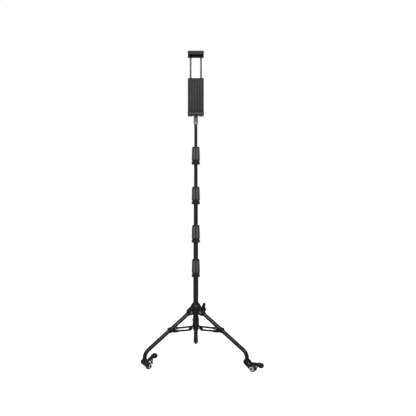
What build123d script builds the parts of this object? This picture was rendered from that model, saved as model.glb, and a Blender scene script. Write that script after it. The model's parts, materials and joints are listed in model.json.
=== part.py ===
"""Telescopic tripod stand on three casters, with a two-jawed spring holder at its head.

Millimetres, +Z up. The origin is on the column's axis at floor level, and the holder faces -Y.
Three cranked legs hinge on a hub that slides on the lowest tube, and three struts tie them to
a fixed collar, so the base folds when the hub goes up. The column is five tubes that slide in
one another, with a twist lock at the top of each but the last.
"""
import os
from math import asin, atan2, cos, degrees, hypot, radians, sin, tan

from build123d import *

# Clearances
press_gap = 0.03
running_gap = 0.08
slide_gap = 0.3
face_gap = 0.3

# Column
tube_count = 5
first_tube_diameter = 17.0
tube_wall = 0.55
section_length = 215.0
first_lock_bottom = 279.5
exposed_lengths = (54.5, 68.0, 73.0, 73.3)
cap_depth = 8.0
cap_dome = 2.5
plug_collar = 5.0
plug_spigot = 9.0
plug_bore = 6.0

# Twist locks
lock_height = 58.5
lock_seat = 30.0
lock_lip = 3.0
flange_radius = 13.8
flange_height = 9.6
waist_radius = 12.0
waist_height = 3.0
spigot_wall = 1.3
grip_bottom_radius = 13.2
grip_top_radius = 12.0
grip_bevel = 2.0
collet_height = 21.0
collet_wall = 1.2
collet_slit = 1.5
flute_count = 8
flute_radius = 1.8
flute_depth = 0.9

# Leg hub
hub_bottom = 156.0
hub_height = 38.0
hub_radius = 18.0
hub_rim_radius = 10.5
hub_side_height = 17.0
hub_bulge = 2.0
leg_pivot_radius = 22.0
leg_pivot_height = 165.8
ear_radius = 9.5
ear_web_radius = 12.5
ear_web_height = 27.0
ear_thickness = 3.2
ear_slot = 10.4
slot_floor_radius = 13.8
hinge_pin_radius = 2.5
pin_head_radius = 4.0
pin_head_height = 1.4

# Hub knob
knob_azimuth = 30.0
knob_height = 169.0
knob_boss_radius = 7.0
knob_boss_end = 22.5
knob_hub_radius = 7.5
knob_hub_length = 13.0
knob_wing_start = 1.5
knob_wing_thickness = 5.0
knob_wing_reach = 21.0
knob_wing_tip_radius = 5.0
knob_tilt = 26.0
knob_screw_radius = 3.0

# Legs
leg_azimuths = {"left": 210.0, "right": 330.0, "rear": 90.0}
leg_diameter = 13.0
leg_wall = 1.0
leg_foot_radius = 184.0
leg_bend_radius = 30.0
leg_end_height = 37.7
leg_end_straight = 1.2
tongue_radius = 7.5
tongue_width = 9.8
shoulder_distance = 10.6
shoulder_thickness = 2.0
shoulder_radius = 7.4
knuckle_spigot = 18.0

# Struts
strut_pivot_radius = 15.5
strut_pivot_height = 115.0
strut_end_radius = 95.0
strut_width = 6.0
strut_rail = 3.2
strut_eye_radius = 4.2
strut_end_eye_radius = 5.6
strut_top_at_eye = 4.0
strut_bottom_at_eye = 10.5
strut_window_corner = 1.2
fork_length = 22.0
fork_spread = 10.0
fork_cheek = 2.2
fork_gap = 0.4
strut_pin_radius = 2.0
saddle_radius = 7.6
saddle_length = 12.0
saddle_boss_radius = 5.0
saddle_boss_reach = 8.1
saddle_crest = 9.2

# Lower collar
collar_lug_drop = 7.0
tube_below_collar = 4.0
collar_height = 20.0
collar_radius = 11.0
collar_skirt_height = 22.0
collar_skirt_wall = 0.8
collar_lug_thickness = 2.5

# Casters
wheel_radius = 10.5
wheel_width = 9.0
wheel_dish = 1.6
axle_radius = 2.0
caster_trail = 18.5
caster_head_radius = 9.5
caster_head_height = 29.0
axle_end_radius = 5.8
yoke_cheek = 2.6
yoke_slot = 10.0
yoke_slot_start = 5.0
stem_radius = 3.0
stem_length = 9.0
socket_rim_radius = 7.5
socket_rim_height = 2.0
socket_bend = 24.0
pedal_pivot = (10.0, 25.8)
pedal_pin_radius = 1.25
pedal_hub_radius = 3.0
pedal_length = 45.0
pedal_thickness = 4.4
pedal_neck_width = 14.0
pedal_pad_width = 21.0
pedal_neck_length = 24.0
pedal_pad_slant = 5.0
pedal_lip = 8.0
pedal_lip_length = 9.0
pedal_rib_depth = 0.8
pedal_rib_pitch = 3.4
pedal_rib_count = 4
pedal_root_length = 6.5
brake_arm_width = 8.6
brake_arm_thickness = 3.4
brake_arm_start = 26.0
brake_tip_angle = -14.0
brake_gap = 0.5
pedal_raised = 19.0
pedal_pressed = 3.5
caster_azimuths = {"left": 53.5, "right": -33.5, "rear": 90.0}
pedal_angles = {"left": pedal_raised, "right": pedal_pressed, "rear": pedal_raised}

# Head and holder
neck_radius = 7.5
neck_height = 28.0
neck_socket_depth = 14.0
neck_taper = 2.0
ball_radius = 7.5
ball_rise = 17.0
ball_stem_radius = 3.0
ball_stem_depth = 10.0
ring_radius = 12.5
ring_bottom_drop = 11.0
ring_lip_drop = 5.6
ring_top_drop = 1.0
ring_mouth_radius = 8.2
ring_throat_radius = 5.8
boss_radius = 10.3
boss_top = 14.0
holder_width = 52.0
holder_depth = 12.0
holder_back = 13.0
holder_bottom = 806.5
holder_top = 930.0
jaw_reach = 27.0
jaw_thickness = 3.5
jaw_lip = 2.5
jaw_lip_height = 8.0
pad_thickness = 4.0
bumper_width = 55.0
bumper_proud = 0.8
tablet_height = 192.5
notch_half_width = 11.0
notch_front = 22.0
notch_top = 817.0
rod_radius = 3.0
rod_spacing = 34.0
rod_insertion = 38.0
rod_floor = 12.0
upper_jaw_height = 15.5
panel_width = 42.0
panel_margin = 14.0
panel_top_margin = 6.0
panel_proud = 0.8
panel_corner = 4.0
panel_groove = 1.6
panel_groove_count = 5
back_groove = 3.0
back_groove_depth = 1.2
back_groove_spacing = 12.0
back_groove_bottom = 852.0
rod_collar_wall = 1.6
rod_collar_height = 1.2
screw_recess_radius = 2.4
screw_recess_depth = 2.0
screw_margin = 9.0
ring_flute_count = 16
ring_flute_radius = 1.2
ring_flute_depth = 0.5
jaw_groove = 1.6
jaw_groove_depth = 0.7
jaw_groove_pitch = 4.5
housing_fillet = 3.0

# Values that follow from the sizes above
tube_gap = slide_gap
collar_bottom = strut_pivot_height - collar_lug_drop
first_tube_bottom = collar_bottom - tube_below_collar
lock_bottoms = [first_lock_bottom]
for exposed in exposed_lengths[:-1]:
    lock_bottoms.append(lock_bottoms[-1] + lock_height + exposed)
neck_bottom = lock_bottoms[-1] + lock_height + exposed_lengths[-1]
neck_top = neck_bottom + neck_height
ball_height = neck_top + ball_rise
leg_run = leg_foot_radius - leg_bend_radius - leg_pivot_radius
leg_drop = leg_pivot_height - leg_end_height - leg_end_straight
slope = atan2(leg_drop, leg_run) - asin(leg_bend_radius / hypot(leg_run, leg_drop))
leg_slope = degrees(slope)
leg_corner_height = leg_pivot_height - (leg_foot_radius - leg_pivot_radius) * tan(slope)
strut_end_height = leg_pivot_height - (strut_end_radius - leg_pivot_radius) * tan(slope)
strut_rise = strut_end_height - strut_pivot_height
strut_run = strut_end_radius - strut_pivot_radius
strut_length = hypot(strut_run, strut_rise)
strut_angle = degrees(atan2(strut_rise, strut_run))
fork_half_width = saddle_boss_reach + fork_gap
collar_slot = strut_width + 2 * face_gap
hub_bore = first_tube_diameter / 2 + slide_gap
yoke_half_width = yoke_slot / 2 + yoke_cheek
pedal_root_width = yoke_slot - 2 * face_gap - 0.2


def tube_diameter(number):
    """Outer diameter of a column tube, number 1 being the lowest and widest."""
    return first_tube_diameter - 2 * (tube_wall + tube_gap) * (number - 1)


def tube_bore(number):
    """Inner diameter of a column tube."""
    return tube_diameter(number) - 2 * tube_wall


def tube_top(number):
    """Height of a column tube's top end."""
    if number < tube_count:
        return lock_bottoms[number - 1] + lock_seat
    return neck_bottom + neck_socket_depth - face_gap


def tube_bottom(number):
    """Height of a column tube's bottom end."""
    return first_tube_bottom if number == 1 else tube_top(number) - section_length


def upright_plane(azimuth, r=0.0, z=0.0, pitch=0.0):
    """Plane that holds the column's axis: its X runs outwards, raised by the pitch, its Y up."""
    a = radians(azimuth)
    p = radians(pitch)
    return Plane(
        origin=(r * cos(a), r * sin(a), z),
        x_dir=(cos(p) * cos(a), cos(p) * sin(a), sin(p)),
        z_dir=(sin(a), -cos(a), 0),
    )


def plan_plane(side):
    """The same frame seen from above: its X as before, its Y across."""
    return Plane(origin=side.origin, x_dir=side.x_dir, z_dir=side.y_dir)


def across_plane(side, distance=0.0):
    """Plane square to a side plane's X, at this distance along it."""
    return Plane(origin=side.origin + side.x_dir * distance, x_dir=side.z_dir, z_dir=side.x_dir)


def turned(points):
    """Adds a turned form to the part in hand, from its outline of (radius, height) points."""
    with BuildSketch(Plane.XZ) as outline:
        with BuildLine():
            Polyline(*points, close=True)
        make_face()
    revolve(outline.sketch, axis=Axis.Z)


def save(part, name):
    """Labels a finished piece and writes it."""
    part.part.label = name
    export_step(part.part, f"parts/{name}.step")


# Column tubes, plugs and the end cap
def make_column_tube(number):
    with BuildPart() as tube:
        with BuildSketch(Plane.XY.offset(tube_bottom(number))):
            Circle(tube_diameter(number) / 2)
            Circle(tube_bore(number) / 2, mode=Mode.SUBTRACT)
        extrude(amount=tube_top(number) - tube_bottom(number))
    save(tube, f"column_tube_{number}")


def make_tube_plug(number):
    """Guide plug in a tube's lower end: its collar runs in the bore of the tube outside."""
    end = tube_bottom(number)
    collar = tube_bore(number - 1) / 2 - running_gap
    spigot = tube_bore(number) / 2 - press_gap
    with BuildPart() as plug:
        turned(
            [
                (plug_bore / 2, end - plug_collar),
                (collar, end - plug_collar),
                (collar, end),
                (spigot, end),
                (spigot, end + plug_spigot),
                (plug_bore / 2, end + plug_spigot),
            ]
        )
    save(plug, f"tube_{number}_plug")


def make_end_cap():
    rim = first_tube_diameter / 2
    spigot = tube_bore(1) / 2 - press_gap
    with BuildPart() as cap:
        turned(
            [
                (0, first_tube_bottom - cap_dome),
                (rim * 0.6, first_tube_bottom - cap_dome),
                (rim, first_tube_bottom - cap_dome / 3),
                (rim, first_tube_bottom),
                (spigot, first_tube_bottom),
                (spigot, first_tube_bottom + cap_depth),
                (0, first_tube_bottom + cap_depth),
            ]
        )
    save(cap, "column_end_cap")


# Twist locks
def lock_radii(number):
    """Radii of the tube's seat, the passage for the next tube, the spigot and the collet's top."""
    seat = tube_diameter(number) / 2 + press_gap
    passage = tube_diameter(number + 1) / 2 + slide_gap
    spigot = tube_diameter(number) / 2 + spigot_wall
    return seat, passage, spigot, passage + collet_wall


def cut_flutes(bottom, height, bottom_radius, top_radius):
    """Cuts the upright flutes of a grip, following its taper."""
    lean = degrees(atan2(bottom_radius - top_radius, height))
    middle = (bottom_radius + top_radius) / 2 + flute_radius - flute_depth
    with Locations((0, 0, bottom + height / 2)):
        with PolarLocations(middle, flute_count):
            Cylinder(flute_radius, height + 10, rotation=(0, -lean, 0), mode=Mode.SUBTRACT)


def make_lock_base(number):
    """Threaded base pressed on a tube's top end, with the fixed ring below the grip."""
    bottom = lock_bottoms[number - 1]
    seat, passage, spigot, _ = lock_radii(number)
    waist_top = bottom + flange_height + waist_height
    with BuildPart() as base:
        turned(
            [
                (seat, bottom),
                (flange_radius - 1, bottom),
                (flange_radius, bottom + 1),
                (flange_radius, bottom + flange_height - 1),
                (flange_radius - 1, bottom + flange_height),
                (waist_radius, bottom + flange_height),
                (waist_radius, waist_top),
                (spigot, waist_top),
                (spigot, bottom + lock_seat + lock_lip),
                (passage, bottom + lock_seat + lock_lip),
                (passage, bottom + lock_seat),
                (seat, bottom + lock_seat),
            ]
        )
        with Locations((0, 0, bottom + flange_height / 2)):
            with PolarLocations(flange_radius + flute_radius - flute_depth, flute_count):
                Cylinder(flute_radius, flange_height - 2, mode=Mode.SUBTRACT)
    save(base, f"twist_lock_{number}_base")


def make_lock_collet(number):
    """Split cone that the grip squeezes onto the sliding tube."""
    foot = lock_bottoms[number - 1] + lock_seat + lock_lip
    _, passage, spigot, top_radius = lock_radii(number)
    with BuildPart() as collet:
        turned(
            [
                (passage, foot),
                (spigot, foot),
                (spigot, foot + 1),
                (top_radius, foot + collet_height),
                (passage, foot + collet_height),
            ]
        )
        with Locations((-spigot, 0, foot + collet_height / 2)):
            Box(2 * spigot, collet_slit, collet_height + 1, mode=Mode.SUBTRACT)
    save(collet, f"twist_lock_{number}_collet")


def make_lock_grip(number):
    """Fluted sleeve that screws down over the collet."""
    bottom = lock_bottoms[number - 1] + flange_height + waist_height + face_gap
    top = lock_bottoms[number - 1] + lock_height
    foot = lock_bottoms[number - 1] + lock_seat + lock_lip
    _, passage, spigot, collet_top = lock_radii(number)
    ceiling = foot + collet_height + face_gap
    with BuildPart() as grip:
        turned(
            [
                (spigot + slide_gap, bottom),
                (grip_bottom_radius, bottom),
                (grip_top_radius, top - grip_bevel),
                (grip_top_radius - grip_bevel * 0.75, top),
                (passage, top),
                (passage, ceiling),
                (collet_top + slide_gap, ceiling),
                (spigot + slide_gap, foot + 1),
            ]
        )
        cut_flutes(bottom, top - bottom, grip_bottom_radius, grip_top_radius)
    save(grip, f"twist_lock_{number}_grip")


# Lower collar, with lugs for the struts
def make_lower_collar():
    top = collar_bottom + collar_height
    skirt_top = top + collar_skirt_height
    bore = first_tube_diameter / 2 + press_gap
    with BuildPart() as collar:
        turned(
            [
                (bore, collar_bottom),
                (collar_radius - 1, collar_bottom),
                (collar_radius, collar_bottom + 1),
                (collar_radius, top - 1),
                (collar_radius - 0.6, top),
                (bore + collar_skirt_wall, skirt_top),
                (bore, skirt_top),
            ]
        )
        for azimuth in leg_azimuths.values():
            side = upright_plane(azimuth, strut_pivot_radius, strut_pivot_height)
            for lug in (-1, 1):
                offset = lug * (collar_slot + collar_lug_thickness) / 2
                with BuildSketch(side.offset(offset)):
                    Circle(strut_eye_radius)
                    inner = (collar_radius - strut_pivot_radius) - 1
                    with Locations((inner / 2, 0)):
                        Rectangle(-inner, 2 * strut_eye_radius)
                extrude(amount=collar_lug_thickness / 2, both=True)
            with BuildSketch(side):
                Circle(strut_pin_radius + press_gap)
            extrude(amount=collar_slot / 2 + collar_lug_thickness + 1, both=True, mode=Mode.SUBTRACT)
    save(collar, "lower_collar")


def headed_pin(side, radius, half_length, head_radius, head_height):
    """Adds a pin across a side plane, with a head at each end."""
    with BuildSketch(side) as shank:
        Circle(radius)
    extrude(shank.sketch, amount=half_length + press_gap, both=True)
    for end in (-1, 1):
        with BuildSketch(side.offset(end * (half_length + press_gap + head_height / 2))) as head:
            Circle(head_radius)
        extrude(head.sketch, amount=head_height / 2, both=True)


def make_collar_pins():
    half = collar_slot / 2 + collar_lug_thickness
    with BuildPart() as pins:
        for azimuth in leg_azimuths.values():
            side = upright_plane(azimuth, strut_pivot_radius, strut_pivot_height)
            headed_pin(side, strut_pin_radius, half, strut_pin_radius + 1.2, 1.0)
    save(pins, "lower_collar_pins")


# Hub
def make_leg_hub():
    top = hub_bottom + hub_height
    shoulder = hub_bottom + hub_side_height
    middle = (shoulder + top) / 2
    hub_crown = ((hub_radius + hub_rim_radius) / 2 + hub_bulge, middle + hub_bulge)
    with BuildPart() as hub:
        with BuildSketch(Plane.XZ):
            with BuildLine():
                Polyline(
                    (hub_rim_radius, top),
                    (hub_bore, top),
                    (hub_bore, hub_bottom),
                    (hub_radius - 1.5, hub_bottom),
                    (hub_radius, hub_bottom + 1.5),
                    (hub_radius, shoulder),
                )
                ThreePointArc((hub_radius, shoulder), hub_crown, (hub_rim_radius, top))
            make_face()
        revolve(axis=Axis.Z)
        slot_top = leg_pivot_height + tongue_radius + 1.2
        slot_reach = hub_radius + 2
        for azimuth in leg_azimuths.values():
            with BuildSketch(upright_plane(azimuth)):
                with Locations(((slot_floor_radius + slot_reach) / 2, (hub_bottom - 1 + slot_top) / 2)):
                    Rectangle(slot_reach - slot_floor_radius, slot_top - hub_bottom + 1)
            extrude(amount=ear_slot / 2, both=True, mode=Mode.SUBTRACT)
        for azimuth in leg_azimuths.values():
            side = upright_plane(azimuth, leg_pivot_radius, leg_pivot_height)
            root = leg_pivot_radius - slot_floor_radius + 0.5
            for ear in (-1, 1):
                with BuildSketch(side.offset(ear * (ear_slot + ear_thickness) / 2)):
                    Circle(ear_radius)
                    with Locations((-root / 2, 0)):
                        Rectangle(root, 2 * ear_radius)
                    with Locations((ear_web_radius - leg_pivot_radius, ear_web_height - ear_radius)):
                        Circle(1)
                    make_hull()
                extrude(amount=ear_thickness / 2, both=True)
        for azimuth in leg_azimuths.values():
            with BuildSketch(upright_plane(azimuth, leg_pivot_radius, leg_pivot_height)):
                Circle(hinge_pin_radius + press_gap)
            extrude(amount=ear_slot / 2 + ear_thickness + 1, both=True, mode=Mode.SUBTRACT)
        knob_axis = upright_plane(knob_azimuth, 0, knob_height)
        with BuildSketch(across_plane(knob_axis, hub_bore + 2)):
            Circle(knob_boss_radius)
        extrude(amount=knob_boss_end - hub_bore - 2)
        with BuildSketch(across_plane(knob_axis)):
            Circle(knob_screw_radius + running_gap)
        extrude(amount=knob_boss_end + 1, mode=Mode.SUBTRACT)
    save(hub, "leg_hub")


def make_hub_pins():
    with BuildPart() as pins:
        for azimuth in leg_azimuths.values():
            side = upright_plane(azimuth, leg_pivot_radius, leg_pivot_height)
            half = ear_slot / 2 + ear_thickness
            headed_pin(side, hinge_pin_radius, half, pin_head_radius, pin_head_height)
    save(pins, "leg_hub_pins")


def make_hub_knob():
    """Winged knob of the hub's clamp screw."""
    start = knob_boss_end + face_gap
    side = upright_plane(knob_azimuth, 0, knob_height)
    with BuildPart() as knob:
        with BuildSketch(across_plane(side, start)):
            Circle(knob_hub_radius)
        extrude(amount=knob_hub_length, taper=4)
        with BuildSketch(across_plane(side, start + knob_wing_start)) as wings:
            with Locations((knob_wing_reach, 0), (-knob_wing_reach, 0)):
                Circle(knob_wing_tip_radius)
            Circle(knob_hub_radius)
            make_hull()
        extrude(amount=knob_wing_thickness)
        with BuildSketch(across_plane(side, start)):
            Circle(knob_screw_radius + press_gap)
        extrude(amount=knob_hub_length * 0.6, mode=Mode.SUBTRACT)
    knob.part = knob.part.rotate(Axis(side.origin, side.x_dir), 90 + knob_tilt)
    save(knob, "hub_knob")


def make_knob_screw():
    side = upright_plane(knob_azimuth, 0, knob_height)
    tip = first_tube_diameter / 2 + running_gap
    end = knob_boss_end + face_gap + knob_hub_length * 0.6 - press_gap
    with BuildPart() as screw:
        with BuildSketch(across_plane(side, tip)):
            Circle(knob_screw_radius)
        extrude(amount=end - tip)
    save(screw, "hub_knob_screw")


# Legs
def leg_side(azimuth):
    """Side plane whose X runs down the leg from its hinge."""
    return upright_plane(azimuth, leg_pivot_radius, leg_pivot_height, -leg_slope)


def make_leg(side_name):
    azimuth = leg_azimuths[side_name]
    upright = upright_plane(azimuth)
    side = leg_side(azimuth)
    start = shoulder_distance + shoulder_thickness
    with BuildPart() as tube:
        with BuildLine(upright) as path:
            FilletPolyline(
                (leg_pivot_radius + start * cos(slope), leg_pivot_height - start * sin(slope)),
                (leg_foot_radius, leg_corner_height),
                (leg_foot_radius, leg_end_height),
                radius=leg_bend_radius,
            )
        with BuildSketch(across_plane(side, start)):
            Circle(leg_diameter / 2)
            Circle(leg_diameter / 2 - leg_wall, mode=Mode.SUBTRACT)
        sweep()
    save(tube, f"leg_{side_name}_tube")

    with BuildPart() as knuckle:
        with BuildSketch(side):
            Circle(tongue_radius)
            with Locations((shoulder_distance / 2, 0)):
                Rectangle(shoulder_distance, leg_diameter)
        extrude(amount=tongue_width / 2, both=True)
        with BuildSketch(across_plane(side, shoulder_distance)):
            Circle(shoulder_radius)
        extrude(amount=shoulder_thickness)
        with BuildSketch(across_plane(side, start)):
            Circle(leg_diameter / 2 - leg_wall - press_gap)
        extrude(amount=knuckle_spigot)
        with BuildSketch(side):
            Circle(hinge_pin_radius + running_gap)
        extrude(amount=tongue_width, both=True, mode=Mode.SUBTRACT)
    save(knuckle, f"leg_{side_name}_knuckle")

    reach = (strut_end_radius - leg_pivot_radius) / cos(slope)
    seat = Plane(origin=side.origin + side.x_dir * reach, x_dir=side.x_dir, z_dir=side.z_dir)
    with BuildPart() as saddle:
        with BuildSketch(across_plane(seat, -saddle_length / 2)):
            Circle(saddle_radius)
            with Locations((0, saddle_crest / 2)):
                Rectangle(saddle_boss_radius, saddle_crest)
        extrude(amount=saddle_length)
        with BuildSketch(seat):
            Circle(saddle_boss_radius)
        extrude(amount=saddle_boss_reach, both=True)
        with BuildSketch(across_plane(seat, -saddle_length)):
            Circle(leg_diameter / 2 + press_gap)
        extrude(amount=2 * saddle_length, mode=Mode.SUBTRACT)
    save(saddle, f"leg_{side_name}_saddle")

    foot = Plane.XY.offset(leg_end_height - socket_rim_height)
    foot.origin = upright_plane(azimuth, leg_foot_radius, leg_end_height - socket_rim_height).origin
    with BuildPart() as socket:
        bend = radians(socket_bend)
        bend_centre = leg_foot_radius - leg_bend_radius
        bend_start = leg_end_height + leg_end_straight
        with BuildLine(upright):
            Line((leg_foot_radius, leg_end_height - 1), (leg_foot_radius, bend_start))
            ThreePointArc(
                (leg_foot_radius, bend_start),
                (
                    bend_centre + leg_bend_radius * cos(bend / 2),
                    bend_start + leg_bend_radius * sin(bend / 2),
                ),
                (bend_centre + leg_bend_radius * cos(bend), bend_start + leg_bend_radius * sin(bend)),
            )
        with BuildSketch(Plane.XY.offset(leg_end_height - 1)) as spigot:
            with Locations((foot.origin.X, foot.origin.Y)):
                Circle(leg_diameter / 2 - leg_wall - press_gap)
        sweep(spigot.sketch)
        with BuildSketch(foot):
            Circle(socket_rim_radius)
        extrude(amount=socket_rim_height)
        with BuildSketch(foot):
            Circle(stem_radius + running_gap)
        extrude(amount=stem_length + socket_rim_height - 1, mode=Mode.SUBTRACT)
    save(socket, f"leg_{side_name}_socket")


# Struts
def make_strut(side_name):
    """Windowed link: a single bar at the collar that forks around the leg."""
    azimuth = leg_azimuths[side_name]
    side = upright_plane(azimuth, strut_pivot_radius, strut_pivot_height, strut_angle)
    length = strut_length
    inner = fork_half_width
    outer = inner + fork_cheek
    split = length - fork_length
    end_top = strut_end_eye_radius
    heel = strut_eye_radius
    with BuildPart() as strut:
        with BuildSketch(plan_plane(side)):
            with BuildLine():
                Polyline(
                    (-heel, -strut_width / 2),
                    (split - fork_spread - 2, -strut_width / 2),
                    (split - 1, -outer),
                    (length + end_top, -outer),
                    (length + end_top, -inner),
                    (split, -inner),
                    (split - fork_spread, 0),
                    (split, inner),
                    (length + end_top, inner),
                    (length + end_top, outer),
                    (split - 1, outer),
                    (split - fork_spread - 2, strut_width / 2),
                    (-heel, strut_width / 2),
                    close=True,
                )
            make_face()
        extrude(amount=3 * strut_bottom_at_eye, both=True)
        with BuildSketch(side):
            Circle(strut_eye_radius)
            with BuildLine():
                Polyline(
                    (-1, strut_top_at_eye),
                    (length, end_top),
                    (length, -end_top),
                    (heel, -strut_bottom_at_eye),
                    (-heel * 0.7, -heel * 0.7),
                    close=True,
                )
            make_face()
            with Locations((length, 0)):
                Circle(strut_end_eye_radius)
        extrude(amount=2 * outer, both=True, mode=Mode.INTERSECT)
        window_end = length - end_top - 2
        with BuildSketch(side) as window:
            with BuildLine():
                Polyline(
                    (1.6 * heel, strut_top_at_eye - strut_rail),
                    (window_end, end_top - strut_rail),
                    (window_end, -end_top + strut_rail),
                    (2.9 * heel, -strut_bottom_at_eye + 1.2 * strut_rail),
                    close=True,
                )
            make_face()
            fillet(window.vertices(), strut_window_corner)
        extrude(amount=2 * outer, both=True, mode=Mode.SUBTRACT)
        with BuildSketch(side):
            Circle(strut_pin_radius + running_gap)
        extrude(amount=strut_width, both=True, mode=Mode.SUBTRACT)
        end = Plane(origin=side.origin + side.x_dir * length, x_dir=side.x_dir, z_dir=side.z_dir)
        with BuildSketch(end):
            Circle(hinge_pin_radius + press_gap)
        extrude(amount=2 * outer, both=True, mode=Mode.SUBTRACT)
        for cheek in (-1, 1):
            with BuildSketch(end.offset(cheek * (inner + fork_cheek / 2 + press_gap))):
                Circle(hinge_pin_radius)
            extrude(amount=fork_cheek / 2, both=True)
            with BuildSketch(end.offset(cheek * (outer + press_gap + 0.6))):
                Circle(pin_head_radius)
            extrude(amount=0.6, both=True)
    save(strut, f"strut_{side_name}")


# Casters
def caster_side(side_name):
    """Side plane of a caster: its origin is under the stem at floor level, its X trails."""
    foot = upright_plane(leg_azimuths[side_name], leg_foot_radius).origin
    plane = upright_plane(caster_azimuths[side_name])
    return Plane(origin=foot, x_dir=plane.x_dir, z_dir=plane.z_dir)


def shifted(side, u, v, turn=0.0):
    """Side plane moved to (u, v) and turned about its own normal."""
    a = radians(turn)
    return Plane(
        origin=side.origin + side.x_dir * u + side.y_dir * v,
        x_dir=side.x_dir * cos(a) + side.y_dir * sin(a),
        z_dir=side.z_dir,
    )


def make_caster(side_name):
    side = caster_side(side_name)
    axle = shifted(side, caster_trail, wheel_radius)
    head_top = leg_end_height - socket_rim_height - face_gap
    blank = 2 * (caster_trail + caster_head_radius)
    stem = Plane(origin=side.origin, x_dir=side.x_dir, z_dir=(0, 0, 1))
    with BuildPart() as yoke:
        with BuildSketch(side):
            with Locations((0, caster_head_height)):
                Circle(caster_head_radius)
            with Locations((caster_trail, wheel_radius)):
                Circle(axle_end_radius)
            make_hull()
        extrude(amount=yoke_half_width, both=True)
        with BuildSketch(side):
            with Locations((0, head_top + blank / 2)):
                Rectangle(2 * blank, blank)
        extrude(amount=yoke_half_width + 1, both=True, mode=Mode.SUBTRACT)
        with BuildSketch(side):
            with Locations((yoke_slot_start + blank / 2, head_top - blank / 2)):
                Rectangle(blank, 2 * blank)
        extrude(amount=yoke_slot / 2, both=True, mode=Mode.SUBTRACT)
        with BuildSketch(side):
            with Locations((caster_trail, wheel_radius)):
                Circle(wheel_radius + 1)
        extrude(amount=yoke_slot / 2, both=True, mode=Mode.SUBTRACT)
        with BuildSketch(stem.offset(head_top)):
            Circle(stem_radius)
        extrude(amount=stem_length)
        with BuildSketch(axle):
            Circle(axle_radius + press_gap)
        extrude(amount=yoke_half_width + 1, both=True, mode=Mode.SUBTRACT)
        with BuildSketch(shifted(side, *pedal_pivot)):
            Circle(pedal_pin_radius + press_gap)
        extrude(amount=yoke_half_width + 1, both=True, mode=Mode.SUBTRACT)
        headed_pin(axle, axle_radius, yoke_half_width, axle_radius + 1.5, 1.0)
        headed_pin(shifted(side, *pedal_pivot), pedal_pin_radius, yoke_half_width, 1.9, 0.6)
    save(yoke, f"caster_{side_name}_yoke")

    with BuildPart() as wheel:
        with BuildSketch(axle):
            Circle(wheel_radius)
            Circle(axle_radius + running_gap, mode=Mode.SUBTRACT)
        extrude(amount=wheel_width / 2, both=True)
        chamfer(wheel.edges().filter_by(GeomType.CIRCLE).sort_by(SortBy.RADIUS)[-2:], 1.2)
        for face in (-1, 1):
            with BuildSketch(axle.offset(face * (wheel_width - wheel_dish) / 2)):
                Circle(wheel_radius - 3)
                Circle(axle_radius + 2, mode=Mode.SUBTRACT)
            extrude(amount=wheel_dish / 2, both=True, mode=Mode.SUBTRACT)
    save(wheel, f"caster_{side_name}_wheel")

    make_pedal(side_name, shifted(side, *pedal_pivot, pedal_angles[side_name]))


def pedal_outline():
    """Half of the pedal seen from above, from its hinge to its pad: length along it, half width."""
    return [
        (-pedal_hub_radius, pedal_root_width / 2),
        (pedal_root_length, pedal_root_width / 2),
        (pedal_root_length + 2.5, pedal_neck_width / 2),
        (pedal_neck_length, pedal_neck_width / 2),
        (pedal_neck_length + pedal_pad_slant, pedal_pad_width / 2),
        (pedal_length - 2, pedal_pad_width / 2),
        (pedal_length, pedal_pad_width / 2 - 2),
    ]


def brake_tip(beyond, angle):
    """Point beside the wheel's rim, in the frame of the pressed pedal."""
    a = radians(pedal_pressed)
    u = caster_trail + (wheel_radius + beyond) * cos(radians(angle)) - pedal_pivot[0]
    v = wheel_radius + (wheel_radius + beyond) * sin(radians(angle)) - pedal_pivot[1]
    return u * cos(a) + v * sin(a), v * cos(a) - u * sin(a)


def make_pedal(side_name, hinge):
    """Brake pedal: a ribbed pad on a neck, with an arm that bears on the wheel's rim when pressed."""
    top = pedal_thickness * 0.8
    bottom = top - pedal_thickness
    half = pedal_outline()
    with BuildPart() as pedal:
        with BuildSketch(plan_plane(hinge)):
            with BuildLine():
                Polyline(*half, *[(u, -w) for u, w in reversed(half)], close=True)
            make_face()
        extrude(amount=2 * pedal_lip, both=True)
        with BuildSketch(hinge):
            Circle(pedal_hub_radius)
            with BuildLine():
                Polyline(
                    (0, bottom),
                    (pedal_length - pedal_lip_length, bottom),
                    (pedal_length - pedal_lip_length + 2, -pedal_lip),
                    (pedal_length - 1, -pedal_lip),
                    (pedal_length, -pedal_lip + 1),
                    (pedal_length, top - 1.3),
                    (pedal_length - 2.5, top),
                    (0, top),
                    close=True,
                )
            make_face()
        extrude(amount=pedal_pad_width, both=True, mode=Mode.INTERSECT)
        with BuildSketch(hinge):
            for rib in range(pedal_rib_count):
                with Locations((pedal_length - 5 - rib * pedal_rib_pitch, top)):
                    Rectangle(pedal_rib_pitch / 2, 2 * pedal_rib_depth)
        extrude(amount=pedal_pad_width, both=True, mode=Mode.SUBTRACT)
        with BuildSketch(hinge):
            with BuildLine():
                Polyline(
                    (brake_arm_start, 0),
                    brake_tip(brake_gap, brake_tip_angle),
                    brake_tip(brake_gap + brake_arm_thickness, 2 * brake_tip_angle),
                    (brake_arm_start + 1.2 * brake_arm_thickness, 0),
                    close=True,
                )
            make_face()
        extrude(amount=brake_arm_width / 2, both=True)
        with BuildSketch(hinge):
            Circle(pedal_pin_radius + running_gap)
        extrude(amount=pedal_pad_width, both=True, mode=Mode.SUBTRACT)
    save(pedal, f"caster_{side_name}_pedal")


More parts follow.
